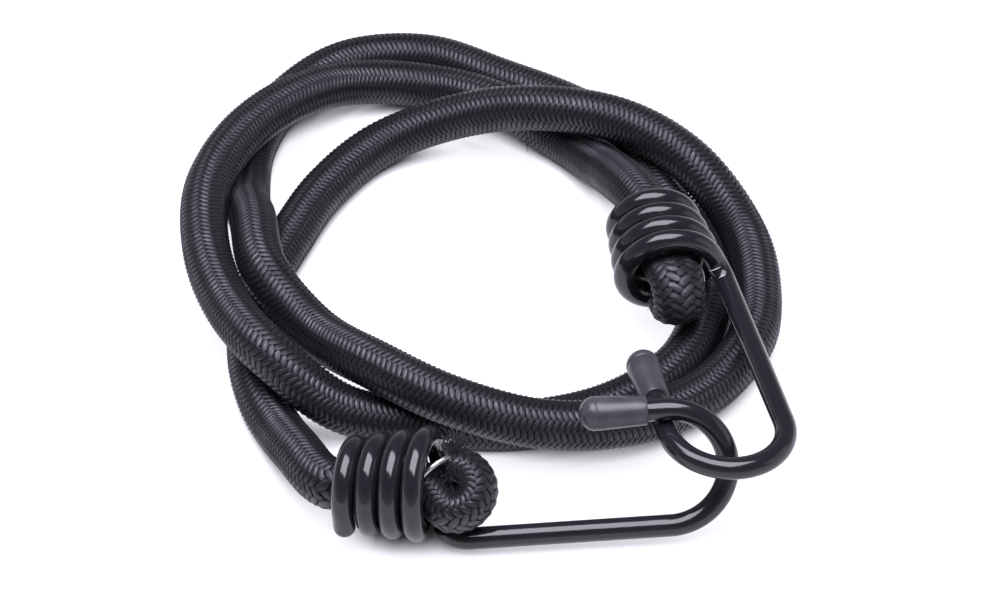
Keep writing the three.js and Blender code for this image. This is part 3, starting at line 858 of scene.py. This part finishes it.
@dataclass
class Cord:
    """The elastic cord: braided sheath, rubber threads, cut ends and loose fibres."""

    ends: tuple[Placing, Placing]
    squeeze_start: float = -9.0 * MM
    swerve_start: float = -4.0 * MM
    row_pitch: float = 1.22 * MM
    columns: int = 14
    slant: float = 0.55
    reach: float = 0.14
    relief: float = 0.24 * MM
    row_steps: int = 4
    column_steps: int = 2
    leg_steps: int = 48
    fold_steps: int = 32
    tail_steps: int = 4
    span_steps: int = 16
    run_in: int = 7
    thread_rings: int = 2
    thread_sides: int = 6
    thread_share: float = 0.96
    thread_stride: int = 3
    fray_counts: tuple[int, int] = (800, 120)
    fray_shares: tuple[float, float] = (1.0, 0.5)
    fray_seed: int = 11
    fibre_length: float = 1.9 * MM
    fibre_thickness: float = 0.06 * MM
    fibre_depth: tuple[float, float] = (0.1, 1.0)
    fibre_onwards: tuple[float, float] = (-0.9, 0.4)
    fibre_out: tuple[float, float] = (0.4, 1.2)
    fibre_away: float = 1.6
    fibre_stray: float = 0.22
    fibre_bend: float = 0.45
    fibre_trims: tuple[float, ...] = (1.0, 0.8, 0.6, 0.45, 0.3, 0.2)
    fibre_seed: int = 3
    pulls: tuple[tuple[float, float, float], ...] = ((10.0 * MM, 44.4 * MM, 3.5 * MM),)
    pull_count: int = 7
    pull_root: float = 0.98 * CORD_RADIUS
    pull_spread: float = 0.4 * MM
    pull_rise: float = 0.9
    pull_lean: tuple[float, float] = (0.3, 0.5)
    pull_stray: float = 0.2
    curl_girth: float = 0.17 * MM
    curl_steps: int = 6
    curl_sides: int = 8

    def end_line(self, placing: Placing) -> CordLine:
        """Lays one cord end from its coil's small end to the cut tail.

        Args:
            placing: the hook that holds it.

        Returns:
            The end's line.
        """
        axes = placing.fold_axes()
        square = axes[:, 2] if axes[2, 2] >= 0 else -axes[:, 2]
        bend = TAIL_END + placing.tail
        radius = placing.fold_width + FOLD_LEG_GAP / 2
        inside = -COIL_LENGTH - WIRE_BED
        leg = np.linspace(inside, bend, self.leg_steps, endpoint=False)
        angle = np.linspace(0, math.pi, self.fold_steps + 1)
        back = np.linspace(bend, TAIL_END, self.tail_steps + 1)[1:]
        x = np.concatenate([leg, bend + radius * np.sin(angle), back])
        y = np.concatenate([-(radius + placing.drop) * smoothstep(self.swerve_start, bend, leg),
                            -radius * np.cos(angle) - placing.drop,
                            np.full(len(back), radius - placing.drop)])
        twist = np.concatenate([smoothstep(inside, self.squeeze_start, leg),
                                np.ones(len(angle) + len(back))])[:, None]
        pressed = smoothstep(self.squeeze_start, bend / 2, x)
        return CordLine(
            placing.world(np.column_stack([x, y, np.zeros_like(x)]), axes),
            UP * (1 - twist) + square * twist,
            CORD_RADIUS + (placing.fold_width - CORD_RADIUS) * pressed,
            CORD_RADIUS + (placing.fold_height - CORD_RADIUS) * pressed,
        )

    def line(self) -> CordLine:
        """Lays the whole cord from cut tail to cut tail.

        Returns:
            The cord's line.
        """
        first = self.end_line(self.ends[0]).turned()
        last = self.end_line(self.ends[1])
        points = ROUTE + UP * REST_HEIGHT
        lead, trail = first.centre[[-1 - self.run_in, -1]], last.centre[[0, self.run_in]]
        free = through(np.vstack([lead, points, trail]), self.span_steps)[1:-1]
        plain = np.full(len(free), CORD_RADIUS)
        middle = CordLine(free, np.tile(UP, (len(free), 1)), plain, plain)
        return first.joined(middle, last)

    def build(self) -> None:
        """Builds every piece of the cord."""
        line = self.line()
        sheath = self.build_sheath(line)
        threads = self.build_threads(line)
        fray = self.build_fray(line)
        curl = self.build_curl()
        self.end_line(self.ends[0]).centre[0]
        round(line.length(), 3)

    def build_sheath(self, line: CordLine) -> bpy.types.Object:
        """Braids the sheath along the line.

        Args:
            line: the cord's line.

        Returns:
            The sheath.
        """
        guide = guide_line("cord_guide", [line.centre], side=line.side(), top=line.top(),
                           wide=line.wide, tall=line.tall)
        sheath = braid_growth().grow("cord_braid", guide, {
            "Row Pitch": self.row_pitch, "Columns": self.columns, "Slant": self.slant,
            "Reach": self.reach, "Relief": self.relief, "Wall": SHEATH_WALL,
            "Row Steps": self.row_steps, "Column Steps": self.column_steps,
            "Material": BRAID.material(),
        })
        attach(sheath, Body.CORD.value)
        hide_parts("braided_sheath")
        return sheath

    def build_threads(self, line: CordLine) -> bpy.types.Object:
        """Fills the sheath with a bundle of rubber threads.

        Args:
            line: the cord's line.

        Returns:
            The bundle.
        """
        inner = CORD_RADIUS - SHEATH_WALL - FIT
        thread = inner / (2 * self.thread_rings + 1)
        seats = [(0.0, 0.0)]
        for ring in range(1, self.thread_rings + 1):
            for k in range(6 * ring):
                angle = 2 * math.pi * k / (6 * ring)
                seats.append((2 * thread * ring * math.cos(angle),
                              2 * thread * ring * math.sin(angle)))
        share = (line.wide - SHEATH_WALL - FIT) / inner, (line.tall - SHEATH_WALL - FIT) / inner
        side, top = line.side(), line.top()
        lines = [(line.centre + side * (a * share[0])[:, None] + top * (b * share[1])[:, None])
                 [::self.thread_stride] for a, b in seats]
        girth = np.full(sum(map(len, lines)), self.thread_share * thread)
        bundle = grow_rods("rubber_threads", lines, girth, self.thread_sides, LATEX)
        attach(bundle, Body.CORD.value)
        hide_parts("rubber_core")
        return bundle

    def cut_fibres(self, line: CordLine, chance: np.random.Generator) -> list[Fibre]:
        """Stands fibres on the rims of both cut ends, leaning away from the fold.

        Args:
            line: the cord's line.
            chance: the random draws.

        Returns:
            The fibres.
        """
        along, side, top = line.along(), line.side(), line.top()
        fibres = []
        for end, placing, count, share in zip((0, -1), self.ends, self.fray_counts,
                                              self.fray_shares):
            onwards = along[end] if end else -along[end]
            away = placing.fold_axes()[:, 1]
            for _ in range(count):
                angle = chance.uniform(0, 2 * math.pi)
                depth = chance.uniform(*self.fibre_depth) * SHEATH_WALL
                across, upright = side[end] * math.cos(angle), top[end] * math.sin(angle)
                out = across + upright
                foot = (line.centre[end] + across * (line.wide[end] - depth)
                        + upright * (line.tall[end] - depth))
                facing = max(float(out @ away), 0.0)
                lie = (onwards * chance.uniform(*self.fibre_onwards)
                       + out * chance.uniform(*self.fibre_out) + away * self.fibre_away * facing
                       + chance.normal(0, self.fibre_stray, 3))
                fibres.append((foot, lie * share))
        return fibres

    def pulled_fibres(self, line: CordLine, chance: np.random.Generator) -> list[Fibre]:
        """Pulls a few fibres out of the braid.

        Args:
            line: the cord's line.
            chance: the random draws.

        Returns:
            The fibres.
        """
        along = line.along()
        fibres = []
        for pull in self.pulls:
            near = int(np.argmin(np.linalg.norm(line.centre - np.array(pull), axis=1)))
            out = unit(np.array(pull) - line.centre[near])
            for _ in range(self.pull_count):
                foot = (line.centre[near] + self.pull_root * out
                        + along[near] * chance.normal(0, self.pull_spread))
                lie = (out * self.pull_rise + along[near] * chance.normal(*self.pull_lean)
                       + chance.normal(0, self.pull_stray, 3))
                fibres.append((foot, lie))
        return fibres

    def trimmed(self, fibres: list[Fibre]) -> list[Fibre]:
        """Shortens the fibres that a hook's wire would sweep as it swings.

        Args:
            fibres: the fibres as they grow.

        Returns:
            The fibres that stay clear of the wire.
        """
        wire = np.vstack([Hook(placing).sweep() for placing in self.ends])
        kept = []
        for foot, lie in fibres:
            for share in self.fibre_trims:
                tip = lie * share * self.fibre_length
                space = np.linalg.norm(wire - foot - tip, axis=1).min() - Hook.coat_radius
                if space > self.fibre_bend * np.linalg.norm(tip):
                    kept.append((foot, lie * share))
                    break
        return kept

    def build_fray(self, line: CordLine) -> bpy.types.Object:
        """Frays both cut ends and pulls a few fibres out of the braid.

        Args:
            line: the cord's line.

        Returns:
            The loose fibres.
        """
        chance = np.random.default_rng(self.fray_seed)
        fibres = self.trimmed(self.cut_fibres(line, chance) + self.pulled_fibres(line, chance))
        guide = guide_line("fray_guide", [foot[None] for foot, _ in fibres],
                           lie=np.array([lie for _, lie in fibres]))
        fray = fray_growth().grow("frayed_ends", guide, {
            "Length": self.fibre_length, "Thickness": self.fibre_thickness,
            "Seed": self.fibre_seed, "Material": LOOSE_YARN.material(),
        })
        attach(fray, Body.CORD.value)
        return fray

    def build_curl(self) -> bpy.types.Object:
        """Draws the pale crimped thread that stands out of the first cut end.

        Returns:
            The thread.
        """
        points = through(CURL, self.curl_steps)
        girth = np.full(len(points), self.curl_girth)
        curl = grow_rods("pulled_thread", [points], girth, self.curl_sides, UNDYED)
        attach(curl, Body.CORD.value)
        return curl


@dataclass
class Hook:
    """One hook: coated wire wound on the cord, bow, and a soft cap on the tip."""

    placing: Placing
    coat_radius: float = 2.2 * MM
    start_trim: float = 55.0
    start_straight: float = 3.5 * MM
    exit_angle: float = 26.0
    exit_bend_radius: float = 4.6 * MM
    bow_radius: float = 11.6 * MM
    cap_length: float = 13.2 * MM
    cap_end_wall: float = 1.4 * MM
    cap_mouth_radius: float = 2.85 * MM
    cap_dome_radius: float = 3.35 * MM
    cap_line_depth: float = 0.15 * MM
    cap_line_from_tip: float = 3.3 * MM
    cap_line_edge: float = 0.3
    cap_lip: float = 0.3 * MM
    cap_rim: float = 0.01 * MM
    cap_tip: float = 0.05
    cap_sides: int = 48
    cracks: tuple[tuple[float, float, float], ...] = ()
    crack_girth: float = 0.14 * MM
    crack_steps: int = 12
    crack_sides: int = 6
    crack_end: float = 0.25
    nose_turn: tuple[float, float] = (86.0, 8.0)
    nose_steps: int = 8
    lead_steps: int = 5
    coil_steps: int = 200
    coil_nudge: float = 0.01
    bend_steps: int = 12
    leg_steps: int = 11
    bow_steps: int = 48
    tip_steps: int = 9
    sweep_steps: int = 6
    sides: int = 32

    def coil_point(self, turns_back: np.ndarray) -> np.ndarray:
        """Gives points of the left-handed coil, in the hook's axes."""
        angle = math.pi + 2 * math.pi * turns_back
        radius = COIL_MOUTH - COIL_FLARE * turns_back / COIL_TURNS
        local = np.stack([-COIL_PITCH * turns_back, radius * np.cos(angle),
                          radius * np.sin(angle)], axis=-1)
        return local @ self.placing.lean_axes().T

    def line(self) -> np.ndarray:
        """Lays the wire in the hook's axes: coil, exit bend, leg, bow and tip.

        Returns:
            The wire's points.
        """
        first, leave = COIL_TURNS - self.start_trim / 360, self.exit_angle / 360
        coil = self.coil_point(np.linspace(first, leave, self.coil_steps))
        back = unit(coil[0] - self.coil_point(np.array(first - self.coil_nudge)))
        lead = coil[0] + back * np.linspace(self.start_straight, 0, self.lead_steps + 1)[:-1, None]
        start = coil[-1]
        along = unit(start - self.coil_point(np.array(leave + self.coil_nudge)))
        ahead = np.array([1.0, 0.0, 0.0])
        inward = unit(ahead - along * (ahead @ along))
        bend = np.linspace(0, math.acos(along @ ahead), self.bend_steps + 1)[1:, None]
        elbow = (start + along * self.exit_bend_radius * np.sin(bend)
                 + inward * self.exit_bend_radius * (1 - np.cos(bend)))
        foot = elbow[-1]
        leg_end = np.array([self.placing.leg, foot[1], foot[2]])
        leg = np.linspace(foot, leg_end, self.leg_steps + 1)[1:-1]
        turn = np.linspace(0, math.pi, self.bow_steps + 1)
        bow = leg_end + self.bow_radius * np.column_stack(
            [np.sin(turn), 1 - np.cos(turn), np.zeros_like(turn)])
        end = bow[-1] - ahead * self.placing.tip
        tip = np.linspace(bow[-1], end, self.tip_steps + 1)[1:]
        return np.vstack([lead, coil, elbow, leg, bow, tip])

    def sweep(self) -> np.ndarray:
        """Gives the wire's points over its swivel's range, in the frame."""
        line = self.line() @ self.placing.lean_axes()
        swept = []
        for turn in np.radians(np.linspace(0, self.placing.swing, self.sweep_steps + 1)):
            c, s = math.cos(turn), math.sin(turn)
            swept.append(line @ np.array([[1, 0, 0], [0, c, s], [0, -s, c]]))
        axes = self.placing.hook_axes() @ self.placing.lean_axes()
        return self.placing.world(np.vstack(swept), axes)

    def build(self) -> None:
        """Builds the coat, the cap and the coat's cracks."""
        line = self.line()
        pieces = [self.build_coat(line), self.build_cap(line[-1])]
        if self.cracks:
            pieces.append(self.build_cracks(line))
        for piece in pieces:
            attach(piece, self.placing.body.value)

    def build_coat(self, line: np.ndarray) -> bpy.types.Object:
        """Draws the coat over the wire, with a round blunt start.

        Args:
            line: the wire's points in the hook's axes.

        Returns:
            The coat.
        """
        tag = self.placing.tag
        back = unit(line[0] - line[1])
        turn = np.linspace(*np.radians(self.nose_turn), self.nose_steps + 1)[:, None]
        nose = line[0] + back * self.coat_radius * np.sin(turn)
        points = self.placing.world(np.vstack([nose, line]), self.placing.hook_axes())
        girth = np.concatenate([self.coat_radius * np.cos(turn[:, 0]),
                                np.full(len(line), self.coat_radius)])
        coat = grow_rods(f"coat_{tag}", [points], girth, self.sides, COAT)
        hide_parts(f"hook_coat_{tag}")
        return coat

    def build_cracks(self, line: np.ndarray) -> bpy.types.Object:
        """Draws the fine pale cracks where the coat was bent sharply.

        Args:
            line: the wire's points in the hook's axes.

        Returns:
            The cracks.
        """
        world = self.placing.world(line, self.placing.hook_axes())
        run = np.concatenate([[0.0], np.cumsum(np.linalg.norm(np.diff(world, axis=0), axis=1))])
        lines = []
        for station, first, last in self.cracks:
            here = int(np.searchsorted(run, station))
            ahead = unit(world[here + 1] - world[here - 1])
            front = unit(FRONT - ahead * (FRONT @ ahead))
            left = np.cross(ahead, front)
            angle = np.radians(np.linspace(first, last, self.crack_steps))[:, None]
            lines.append(world[here] + self.coat_radius * (np.cos(angle) * front
                                                           + np.sin(angle) * left))
        taper = np.sin(np.linspace(self.crack_end, math.pi - self.crack_end, self.crack_steps))
        girth = np.tile(self.crack_girth * taper, len(lines))
        name = f"coat_cracks_{self.placing.tag}"
        cracks = grow_rods(name, lines, girth, self.crack_sides, WHITENED)
        return cracks

    def build_cap(self, end: np.ndarray) -> bpy.types.Object:
        """Draws the cap over the tip, domed, with a fine mould line.

        Args:
            end: the wire's end in the hook's axes.

        Returns:
            The cap.
        """
        tag = self.placing.tag
        line_at = self.cap_length - self.cap_line_from_tip
        dip = self.cap_line_depth
        lip = self.cap_lip
        profile = [(0.0, self.coat_radius), (self.cap_rim, self.cap_mouth_radius - lip)]
        for degrees in (30, 60, 90):
            turn = math.radians(degrees)
            profile.append((lip * (1 - math.cos(turn)),
                            self.cap_mouth_radius - lip * (1 - math.sin(turn))))
        for share in np.linspace(0.15, 1, 8):
            profile.append((share * (line_at - 2 * dip),
                            self.cap_mouth_radius
                            + (self.cap_dome_radius - self.cap_mouth_radius) * share))
        edge = self.cap_dome_radius - self.cap_line_edge * dip
        profile += [(line_at - dip, edge), (line_at, self.cap_dome_radius - dip),
                    (line_at + dip, edge)]
        shoulder = line_at + 2 * dip
        for degrees in range(0, 90, 6):
            turn = math.radians(degrees)
            profile.append((shoulder + (self.cap_length - shoulder) * math.sin(turn),
                            self.cap_dome_radius * math.cos(turn)))
        profile.append((self.cap_length, self.cap_tip * self.cap_dome_radius))
        depth, girth = np.array(profile).T
        mouth = end[0] + self.cap_length - self.cap_end_wall - FIT
        points = np.column_stack([mouth - depth, np.full_like(depth, end[1]),
                                  np.full_like(depth, end[2])])
        lines = [self.placing.world(points, self.placing.hook_axes())]
        cap = grow_rods(f"cap_{tag}", lines, girth, self.cap_sides, CAP)
        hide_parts(f"tip_cap_{tag}")
        return cap


@dataclass
class Clip:
    """Open ring of steel wire that holds a folded cord end."""

    placing: Placing
    wire: float = 1.1 * MM
    front: float = -4.0 * MM
    roundness: float = 0.8
    near_bite: float = 4.4 * MM
    far_bite: float = 3.0 * MM
    steps: int = 120
    sides: int = 14
    tip_share: float = 0.6

    def build(self) -> None:
        """Bends the clip round the fold, pressed into the soft cord at both sides."""
        tag, radius = self.placing.tag, self.wire / 2
        mouth = COIL_MOUTH + COIL_FLARE * self.front / COIL_LENGTH
        near = np.array([self.front, self.near_bite - (mouth - WIRE_BED - 1.5 * FIT - radius)])
        past = 2 * self.placing.fold_width + FOLD_LEG_GAP / 2 - self.placing.drop
        far = np.array([TAIL_END + self.wire, past + FIT + radius - self.far_bite])
        tall = self.placing.fold_height + FIT + 1.5 * radius
        gap = math.radians(self.placing.opening)
        angle = -math.pi / 2 + gap / 2 + np.linspace(0, 2 * math.pi - gap, self.steps)
        share = ((1 - np.cos(angle)) / 2)[:, None]
        flat = far * (1 - share) + near * share
        rise = tall * np.sign(np.sin(angle)) * np.abs(np.sin(angle)) ** self.roundness
        points = self.placing.world(np.column_stack([flat, rise]), self.placing.fold_axes())
        girth = np.full(len(points), radius)
        girth[[0, -1]] = self.tip_share * radius
        clip = grow_rods(f"clip_{tag}", [points], girth, self.sides, STEEL)
        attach(clip, Body.CORD.value)
        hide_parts(f"end_clip_{tag}")


@dataclass(frozen=True)
class Lamp:
    """One soft lamp: where it hangs, its width and height, and its power in watts."""

    name: str
    place: tuple[float, float, float]
    size: tuple[float, float]
    power: float


LAMPS = (
    Lamp("overhead_softbox", (-0.03, -0.07, 0.62), (0.64, 0.5), 8.3),
    Lamp("right_panel", (0.9, -0.1, 0.3), (0.7, 0.6), 0.9),
)


@dataclass
class Studio:
    """White floor, soft lamps and the camera."""

    target: tuple[float, float, float] = (4.6 * MM, -1.5 * MM, 0.0)
    distance: float = 0.695
    elevation: float = 42.0
    lens: float = 118.33
    sensor: float = 36.0
    clip: tuple[float, float] = (0.01, 50.0)
    lamp_colour: str = "f6f4ff"
    floor_colour: str = "8e8d93"
    floor_roughness: float = 0.9
    floor_reach: float = 6.0
    floor_drop: float = -0.02 * MM
    glow: float = 0.92
    glow_colour: str = "fbf8ff"
    shade_reach: float = 8.0 * MM
    shade_samples: int = 16
    shade_band: tuple[float, float] = (0.2, 0.5)
    sky_band: tuple[float, float] = (0.1, 0.5)
    sky_strength: tuple[float, float] = (0.45, 0.1)

    def build(self) -> None:
        """Sets up camera, floor, lamps and surroundings."""
        scene = bpy.context.scene
        scene.view_settings.view_transform = "Standard"
        self.build_camera(scene)
        self.build_floor(scene)
        for lamp in LAMPS:
            self.hang(scene, lamp)
        self.build_world(scene)

    def build_camera(self, scene: bpy.types.Scene) -> None:
        """Puts the camera where the picture was taken.

        Args:
            scene: the scene.
        """
        tilt = math.radians(self.elevation)
        data = bpy.data.cameras.new("camera")
        data.lens = self.lens
        data.sensor_width = self.sensor
        data.clip_start, data.clip_end = self.clip
        camera = bpy.data.objects.new("camera", data)
        camera.location = Vector(self.target) + self.distance * Vector(
            (0.0, -math.cos(tilt), math.sin(tilt)))
        camera.rotation_euler = (math.pi / 2 - tilt, 0.0, 0.0)
        scene.collection.objects.link(camera)
        scene.camera = camera

    def build_floor(self, scene: bpy.types.Scene) -> None:
        """Lays a plain white floor that keeps the cord's shadow from the lamps; its glow is dimmed
        near the cord as painted shade.

        Args:
            scene: the scene.
        """
        mesh = bpy.data.meshes.new("floor")
        reach, drop = self.floor_reach, self.floor_drop
        mesh.from_pydata([(-reach, -reach, drop), (reach, -reach, drop), (reach, reach, drop),
                          (-reach, reach, drop)], [], [(0, 1, 2, 3)])
        floor = bpy.data.objects.new("floor", mesh)
        scene.collection.objects.link(floor)
        material = bpy.data.materials.new("white_sweep")
        material.use_nodes = True
        tree = material.node_tree
        shader = tree.nodes["Principled BSDF"]
        fill(tree, shader, {"Base Color": linear(self.floor_colour),
                            "Roughness": self.floor_roughness, "Specular IOR Level": 0.0})
        rays = add(tree, "ShaderNodeLightPath").outputs
        seen = add(tree, MATHS, [rays["Is Camera Ray"], rays["Is Glossy Ray"]], operation="MAXIMUM")
        shown = add(tree, MATHS, [seen, rays["Is Transmission Ray"]], operation="MAXIMUM")
        # The glow fades where the cord is close by: a painted contact shade on the floor.
        open_sky = add(tree, "ShaderNodeAmbientOcclusion", {"Distance": self.shade_reach},
                       samples=self.shade_samples)
        clear = add(tree, "ShaderNodeMapRange",
                    [open_sky.outputs["AO"], *self.shade_band, 0.0, self.glow])
        share = add(tree, MATHS, [shown, clear], operation="MULTIPLY")
        glow = add(tree, "ShaderNodeEmission", {"Color": linear(self.glow_colour), "Strength": share})
        both = add(tree, "ShaderNodeAddShader", [shader, glow])
        fill(tree, tree.nodes["Material Output"], {"Surface": both})
        mesh.materials.append(material)

    def hang(self, scene: bpy.types.Scene, lamp: Lamp) -> None:
        """Hangs one soft lamp facing the cord.

        Args:
            scene: the scene.
            lamp: the lamp.
        """
        data = bpy.data.lights.new(lamp.name, "AREA")
        data.shape = "RECTANGLE"
        data.size, data.size_y = lamp.size
        data.energy = lamp.power
        data.color = linear(self.lamp_colour)[:3]
        hung = bpy.data.objects.new(lamp.name, data)
        hung.location = lamp.place
        hung.rotation_euler = (-Vector(lamp.place)).to_track_quat("-Z", "Y").to_euler()
        scene.collection.objects.link(hung)

    def build_world(self, scene: bpy.types.Scene) -> None:
        """Gives a dim surround, paler towards the horizon.

        Args:
            scene: the scene.
        """
        world = bpy.data.worlds.new("studio")
        world.use_nodes = True
        tree = world.node_tree
        way = add(tree, "ShaderNodeSeparateXYZ",
                  [add(tree, "ShaderNodeTexCoord").outputs["Generated"]])
        sky = add(tree, "ShaderNodeMapRange",
                  [way.outputs["Z"], *self.sky_band, *self.sky_strength])
        fill(tree, tree.nodes["Background"], {"Color": (1.0, 1.0, 1.0, 1.0), "Strength": sky})
        scene.world = world


def main() -> None:
    """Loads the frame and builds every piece."""
    logging.basicConfig(level=logging.INFO, format="%(name)s: %(message)s")
    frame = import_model()
    Studio().build()
    Cord((PLACING_A, PLACING_B)).build()
    for placing in (PLACING_A, PLACING_B):
        Hook(placing, cracks=CRACKS[placing.tag]).build()
        Clip(placing).build()
        wire = frame["nodes"][f"hook_wire_{placing.tag}"]
        wire.data.materials.clear()
        wire.data.materials.append(STEEL.material())


if __name__ == "__main__":
    main()
